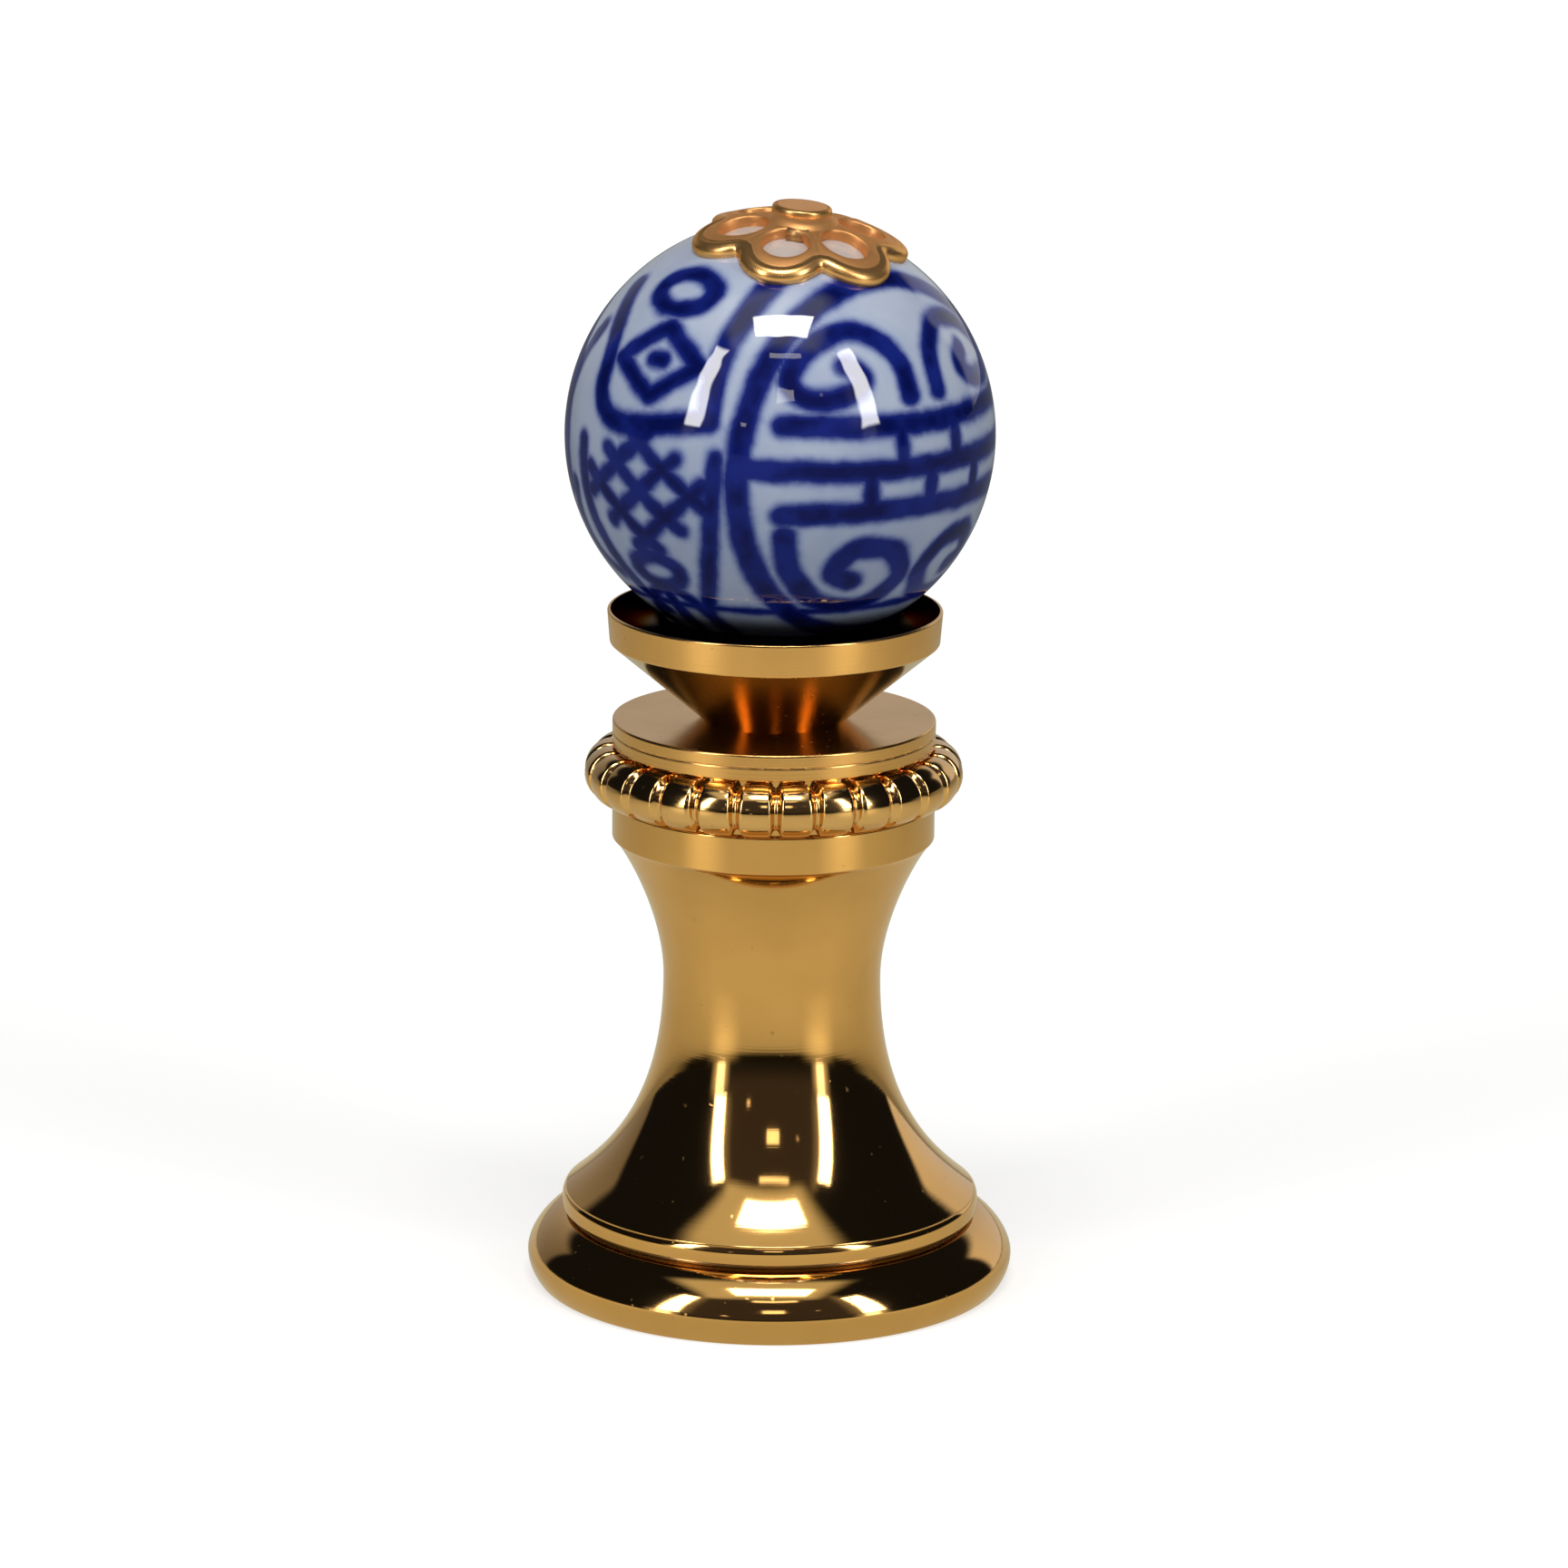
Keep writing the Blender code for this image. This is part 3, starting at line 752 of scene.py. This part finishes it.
def glaze():
    """Clear glaze over painted cobalt, which has bled a little into the white, with painted shade in the seat
    and painted warm light under the cap.
    """
    material, tree, shader = new_material("painted_glaze")
    place = tree.add("TexCoord").outputs["Object"]
    paint = tree.add("Attribute", attribute_name="paint").outputs["Fac"]
    wander = tree.math("SUBTRACT", tree.noise(place, scale=900.0, detail=3.0), 0.5)
    depth = tree.math("ADD", paint, tree.math("MULTIPLY", wander, 0.35))
    cloud = tree.ramp(tree.noise(place, scale=330.0, detail=3.0), 0.3, 0.75)
    white = tree.mix(cloud, (0.37, 0.425, 0.57, 1.0), (0.44, 0.495, 0.615, 1.0))
    halo = tree.mix(tree.ramp(depth, -0.42, 0.05, 0.0, 0.62), white, (0.10, 0.15, 0.42, 1.0))
    stroke = tree.mix(tree.ramp(depth, -0.20, 0.18), halo, (0.008, 0.018, 0.190, 1.0))
    pools = tree.ramp(tree.noise(place, scale=500.0), 0.32, 0.62)
    core = tree.math("MULTIPLY", tree.ramp(depth, 0.05, 0.40), pools)
    colour = tree.mix(core, stroke, (0.002, 0.005, 0.075, 1.0))
    centre = tree.add("VectorMath", operation="SUBTRACT")
    tree.link(place, centre.inputs[0])
    centre.inputs[1].default_value = (BALL_X * MM, 0.0, BALL_LEVEL * MM)
    level = tree.add("SeparateXYZ")
    tree.link(centre.outputs[0], level.inputs[0])
    # Painted shade in the seat, darkest at the bottom
    seat = tree.ramp(level.outputs[2], -8.0 * MM, -6.8 * MM, 0.90, 0.0)
    colour = tree.mix(seat, colour, (0.006, 0.005, 0.005, 1.0))
    # Painted warm light, as reflected from the copper cap, on the ball under the cap
    along_cap = tree.add("VectorMath", operation="DOT_PRODUCT")
    tree.link(centre.outputs[0], along_cap.inputs[0])
    cap_axis = Matrix.Rotation(CAP_LEAN, 3, "Y") @ Matrix.Rotation(CAP_NOD, 3, "X") @ Vector((0.0, 0.0, 1.0))
    along_cap.inputs[1].default_value = tuple(cap_axis)
    under = tree.ramp(along_cap.outputs["Value"], 9.17 * MM, 9.45 * MM, 0.0, 0.62)
    tree.link(tree.mix(under, colour, (0.62, 0.47, 0.34, 1.0)), shader.inputs["Base Color"])
    shader.inputs["Roughness"].default_value = 0.0
    shader.inputs["IOR"].default_value = 1.5
    normal = tree.bump(tree.noise(place, scale=380.0), 0.12, distance=0.3 * MM)
    tree.link(normal, shader.inputs["Normal"])
    return material


# The studio

DEGREES = math.degrees(1.0)
STRIP, PANEL_LIGHT, WINDOW = 8.5, 14.0, 2.3
# Patches of light by direction: azimuths, elevations (degrees), soft edge, colour, strength.
# Two strips, a faint glow between them, a haze along each strip, and four small windows.
PATCHES = [
    (-53.5, -43.0, 11.5, 50.5, 2.0, (1.0, 0.99, 0.96), STRIP),
    (45.5, 56.5, 11.5, 50.5, 2.0, (1.0, 0.99, 0.96), STRIP),
    (-43.0, 45.0, 4.0, 58.0, 10.0, (1.0, 0.85, 0.80), 0.040),
    (-44.0, -38.0, 12.0, 56.0, 7.0, (1.0, 0.95, 0.85), 0.16),
    (40.0, 46.0, 12.0, 56.0, 7.0, (1.0, 0.95, 0.85), 0.16),
    (-3.0, 8.0, 27.5, 34.5, 0.8, (1.0, 0.95, 0.78), WINDOW),
    (-10.0, 18.0, 51.5, 54.5, 0.8, (1.0, 0.95, 0.80), WINDOW),
    (-22.0, -19.5, 14.5, 16.5, 0.6, (1.0, 0.9, 0.8), WINDOW),
    (24.0, 26.0, 30.2, 31.8, 0.6, (1.0, 0.9, 0.8), 1.0),
]
# Fainter lower ends of the two strips, which only the brass shows
TAILS = [
    (-54.0, -46.5, -2.5, 12.5, 3.5, (1.0, 1.0, 1.0), 2.4),
    (46.0, 53.0, -2.5, 12.5, 3.5, (1.0, 1.0, 1.0), 2.4),
    (-57.5, -43.5, -8.0, 10.0, 8.0, (1.0, 0.96, 0.78), 0.75),
    (43.0, 56.5, -8.0, 10.0, 8.0, (1.0, 0.96, 0.78), 0.75),
]
# The lights overhead, by where they are on a level ceiling: right and forwards in units of its height
CEILING = [
    (-0.22, 0.25, 0.225, 0.47, 0.025, (1.0, 0.99, 0.97), PANEL_LIGHT),
    (-0.48, 0.37, -0.06, 0.62, 0.18, (1.0, 1.0, 0.82), 0.66),
]


def patch(tree, across, along, bounds):
    """1 inside the bounds and 0 outside them, with soft edges."""
    left, right, low, high, soft = bounds
    mask = tree.ramp(across, left - soft / 2, left + soft / 2)
    mask = tree.math("MULTIPLY", mask, tree.ramp(across, right - soft / 2, right + soft / 2, 1.0, 0.0))
    mask = tree.math("MULTIPLY", mask, tree.ramp(along, low - soft / 2, low + soft / 2))
    return tree.math("MULTIPLY", mask, tree.ramp(along, high - soft / 2, high + soft / 2, 1.0, 0.0))


def make_world():
    """A dark room with two strip lights, a top panel and a pale sweep behind.

    The camera itself sees plain pale paper. Singular rays are those that the ball's glaze mirrors.
    """
    world = bpy.data.worlds.new("studio")
    bpy.context.scene.world = world
    tree = Tree(world)
    tree.nodes.clear()
    split = tree.add("SeparateXYZ")
    tree.link(tree.add("TexCoord").outputs["Generated"], split.inputs[0])
    x, y, z = split.outputs
    forward = tree.math("MULTIPLY", y, -1.0)
    azimuth = tree.math("MULTIPLY", tree.math("ARCTAN2", x, forward), DEGREES)
    elevation = tree.math("MULTIPLY", tree.math("ARCSINE", z), DEGREES)
    rays = tree.add("LightPath")
    singular = rays.outputs["Is Singular Ray"]
    # The dark room, the sweep behind, brighter to the right, and a soft light that only diffuse rays meet
    colour = (0.009, 0.010, 0.014, 1.0)
    behind = tree.ramp(tree.math("ABSOLUTE", azimuth), 127.0, 132.0)
    behind = tree.math("MULTIPLY", behind, tree.ramp(elevation, 24.0, 30.0, 1.0, 0.0))
    behind = tree.math("MULTIPLY", behind, tree.ramp(singular, 0.0, 1.0, 1.0, 0.45))
    behind = tree.math("MULTIPLY", behind, tree.math("MULTIPLY_ADD", x, 0.42, 0.50))
    colour = tree.mix(behind, colour, (1.0, 0.98, 0.92, 1.0))
    front = patch(tree, azimuth, elevation, (-80.0, 80.0, -5.0, 52.0, 30.0))
    soft = tree.math("MULTIPLY", front, rays.outputs["Is Diffuse Ray"])
    colour = tree.mix(soft, colour, (0.29, 0.315, 0.355, 1.0))
    over = tree.math("MAXIMUM", z, 0.01)
    ceiling = (tree.math("DIVIDE", x, over), tree.math("DIVIDE", forward, over))
    dull = tree.ramp(singular, 0.0, 1.0, 1.0, 0.1)
    places = [(azimuth, elevation, row, 1.0) for row in PATCHES]
    places += [(azimuth, elevation, row, dull) for row in TAILS]
    places += [(*ceiling, row, 1.0) for row in CEILING]
    for across, along, (*bounds, tone, strength), share in places:
        light = (*[c * strength for c in tone], 1.0)
        node = tree.add("Mix", data_type="RGBA", blend_type="ADD")
        node.inputs["Factor"].default_value = 1.0
        tree.put(colour, node.inputs[6])
        lit = tree.math("MULTIPLY", patch(tree, across, along, bounds), share)
        tree.link(tree.mix(lit, (0.0, 0.0, 0.0, 1.0), light), node.inputs[7])
        colour = node.outputs[2]
    room = tree.add("Background")
    tree.link(colour, room.inputs["Color"])
    tree.link(tree.ramp(singular, 0.0, 1.0, 1.0, 2.0), room.inputs["Strength"])
    paper = tree.add("Background")
    paper.inputs["Color"].default_value = (1.0, 1.0, 1.0, 1.0)
    choose = tree.add("MixShader")
    tree.link(rays.outputs["Is Camera Ray"], choose.inputs[0])
    tree.link(room.outputs[0], choose.inputs[1])
    tree.link(paper.outputs[0], choose.inputs[2])
    tree.link(choose.outputs[0], tree.add("OutputWorld").inputs[0])


def floor_tone(tree):
    """How bright the floor's painted glow looks in the brass, by distance (m) and by azimuth (degrees) from
    the front.
    """
    place = tree.add("NewGeometry").outputs["Position"]
    length = tree.add("VectorMath", operation="LENGTH")
    tree.link(place, length.inputs[0])
    reach = length.outputs["Value"]
    split = tree.add("SeparateXYZ")
    tree.link(place, split.inputs[0])
    azimuth = tree.math("ARCTAN2", split.outputs[0], tree.math("MULTIPLY", split.outputs[1], -1.0))
    azimuth = tree.math("ABSOLUTE", tree.math("MULTIPLY", azimuth, DEGREES))
    # Painted shade close to the foot and far off
    tone = tree.ramp(reach, 0.012, 0.026, 0.70, 0.83)
    tone = tree.math("ADD", tone, tree.ramp(reach, 0.055, 0.22, 0.0, -0.27, smooth=False))
    # Painted shade towards the back
    fall = tree.ramp(reach, 0.01, 0.2, 0.12, 0.42, smooth=False)
    side = tree.math("MULTIPLY", tree.ramp(azimuth, 50.0, 110.0), fall)
    tone = tree.math("MULTIPLY", tone, tree.math("SUBTRACT", 1.0, side))
    # In front it ends at the dark room
    end = tree.math("MULTIPLY", tree.ramp(reach, 0.235, 0.30), tree.ramp(azimuth, 84.0, 114.0, 0.99, 0.0))
    tone = tree.math("MULTIPLY", tone, tree.math("SUBTRACT", 1.0, end))
    # A painted streak of light from each of the two strips
    streak = tree.math("MULTIPLY", tree.ramp(azimuth, 28.0, 48.0), tree.ramp(azimuth, 50.0, 69.0, 1.0, 0.0))
    streak = tree.math("MULTIPLY", streak, tree.ramp(reach, 0.03, 0.12, 0.0, 0.62))
    streak = tree.math("MULTIPLY", streak, tree.ramp(reach, 0.30, 1.2, 1.0, 0.60))
    return tree.math("MULTIPLY", tree.math("ADD", tone, streak), 0.84)


def make_floor():
    """A pale table as the camera sees it.

    Mirrored in the brass, it glows with painted uneven light and shade and ends at the dark room a short way
    off.
    """
    bpy.ops.mesh.primitive_plane_add(size=6.0)
    floor = bpy.context.active_object
    floor.name = "pale_floor"
    material = bpy.data.materials.new("pale_paper")
    tree = Tree(material)
    tree.nodes.clear()
    warm = tree.add("VectorMath", operation="SCALE")
    warm.inputs[0].default_value = (1.0, 0.965, 0.72)
    tree.link(floor_tone(tree), warm.inputs["Scale"])
    rays = tree.add("LightPath")
    seen = rays.outputs["Is Camera Ray"]
    # The floor glows: dim grey for rays the glaze mirrors, bluish painted bounce light for diffuse rays, the
    # painted tone for the rest
    colour = tree.mix(rays.outputs["Is Singular Ray"], warm.outputs[0], (0.14, 0.145, 0.155, 1.0))
    colour = tree.mix(rays.outputs["Is Diffuse Ray"], colour, (0.20, 0.245, 0.33, 1.0))
    colour = tree.mix(seen, colour, (0.65, 0.65, 0.65, 1.0))
    paper = tree.add("BsdfDiffuse")
    tree.link(tree.mix(seen, (0.0, 0.0, 0.0, 1.0), (0.42, 0.42, 0.42, 1.0)), paper.inputs["Color"])
    glow = tree.add("Emission")
    tree.link(colour, glow.inputs["Color"])
    both = tree.add("AddShader")
    tree.link(paper.outputs[0], both.inputs[0])
    tree.link(glow.outputs[0], both.inputs[1])
    tree.link(both.outputs[0], tree.add("OutputMaterial").inputs[0])
    floor.data.materials.append(material)


# The camera's aim (mm), distance (mm), height and tilt (degrees), and lens and sensor (mm)
CAMERA_AIM, CAMERA_DISTANCE = (0.486, 0.0, 24.011), 312.2
CAMERA_ELEVATION, CAMERA_ROLL = 14.188, 0.558
CAMERA_LENS, CAMERA_SENSOR = 152.5, 36.0


def make_camera():
    """The photograph's viewpoint: a long lens a little above, with a slight tilt to one side."""
    elevation, roll = math.radians(CAMERA_ELEVATION), math.radians(CAMERA_ROLL)
    data = bpy.data.cameras.new("camera")
    data.lens, data.sensor_width = CAMERA_LENS, CAMERA_SENSOR
    data.clip_start, data.clip_end = 0.01, 10.0
    camera = bpy.data.objects.new("camera", data)
    bpy.context.scene.collection.objects.link(camera)
    back = Vector((0.0, -math.cos(elevation), math.sin(elevation)))
    place = Matrix.Translation((Vector(CAMERA_AIM) + back * CAMERA_DISTANCE) * MM)
    turn = Matrix.Rotation(math.pi / 2 - elevation, 4, "X") @ Matrix.Rotation(roll, 4, "Z")
    camera.matrix_world = place @ turn
    bpy.context.scene.camera = camera
    bpy.context.scene.view_settings.view_transform = "Standard"


# Each look: colour, its darker blotches, roughness, strength of the tool marks, and what else differs
COPPER_EDGE = (0.95, 0.72, 0.50)
LOOKS = {
    "polished_brass_look": ((0.75, 0.43, 0.145), (0.68, 0.38, 0.12), 0.07, 0.12, {}),
    "satin_brass_look": ((0.82, 0.47, 0.165), (0.76, 0.43, 0.145), 0.22, 0.5, {"waves": 0.02}),
    "fine_satin_brass_look": ((0.75, 0.43, 0.15), (0.69, 0.39, 0.13), 0.17, 0.5, {"waves": 0.02}),
    # The lip's brass is darker, with a dark edge tint and painted shade towards the ball
    "lip_painted_shade_look": (
        (0.60, 0.33, 0.11), (0.54, 0.30, 0.10), 0.10, 0.2,
        {"edge": (0.20, 0.14, 0.09), "shade": (7.3 * MM, 10.0 * MM)},
    ),
    # The cone's brass is a darker, duller copy of the polished brass: painted shade that dims its reflections
    "cone_painted_shade_look": ((0.52, 0.36, 0.17), (0.44, 0.30, 0.14), 0.13, 0.5, {"waves": 0.02}),
    # Darker, duller brass in the groove over the foot: painted shade
    "groove_painted_shade_look": ((0.48, 0.34, 0.18), (0.40, 0.28, 0.14), 0.22, 0.3, {}),
    "bead_brass_look": ((0.76, 0.46, 0.18), (0.68, 0.40, 0.15), 0.12, 0.12, {}),
    "copper_gilt_look": (
        (0.80, 0.385, 0.14), (0.72, 0.32, 0.105), 0.42, 0.2, {"edge": COPPER_EDGE, "metallic": 0.72},
    ),
    "bright_gilt_look": (
        (0.95, 0.53, 0.20), (0.86, 0.45, 0.15), 0.30, 0.15, {"edge": COPPER_EDGE, "metallic": 0.92},
    ),
    "tab_copper_look": (
        (0.62, 0.34, 0.14), (0.55, 0.28, 0.11), 0.45, 0.2, {"edge": COPPER_EDGE, "metallic": 0.8},
    ),
    "button_gilt_look": (
        (0.93, 0.48, 0.21), (0.85, 0.41, 0.16), 0.42, 0.2, {"edge": COPPER_EDGE, "metallic": 0.66},
    ),
}


def dress(thing, node, materials):
    """Materials for a piece, in the order of its indices, and what the piece stands for."""
    for material in materials:
        thing.data.materials.append(material)
    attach(thing, "root")
    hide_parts(node)


def main():
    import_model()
    make_camera()
    make_world()
    make_floor()
    looks = [metal(name, *values, **others) for name, (*values, others) in LOOKS.items()]
    polished, satin, fine, lip, cone, groove, bead, gilt, bright, dim, matt = looks
    profile, bore = base_profile()
    outside = (*turned(profile, TURN_STEPS), base_slot)
    inside = (*turned(bore, SMALL_STEPS), POLISHED)
    base = make_piece("base_turned", [outside, inside, (*bead_ring(), BEADED), (*bore_thread(), POLISHED)])
    dress(base, "brass_base", (polished, fine, satin, groove, bead))
    cup = make_piece("cup_turned", [(*turned(cup_profile(), TURN_STEPS), cup_slot)])
    dress(cup, "seat_cup", (lip, satin, cone))
    dress(make_ball(), "porcelain_ball", (glaze(),))
    middle = Matrix.Translation((BALL_X * MM, 0.0, BALL_LEVEL * MM))
    cap = make_cap(middle @ Matrix.Rotation(CAP_LEAN, 4, "Y") @ Matrix.Rotation(CAP_NOD, 4, "X"))
    dress(cap, "bead_cap", (gilt, bright, dim))
    button = make_button(middle @ Matrix.Rotation(BUTTON_LEAN, 4, "Y") @ Matrix.Rotation(BUTTON_NOD, 4, "X"))
    dress(button, "cap_button", (matt, bright))
    bpy.context.view_layer.update()


main()
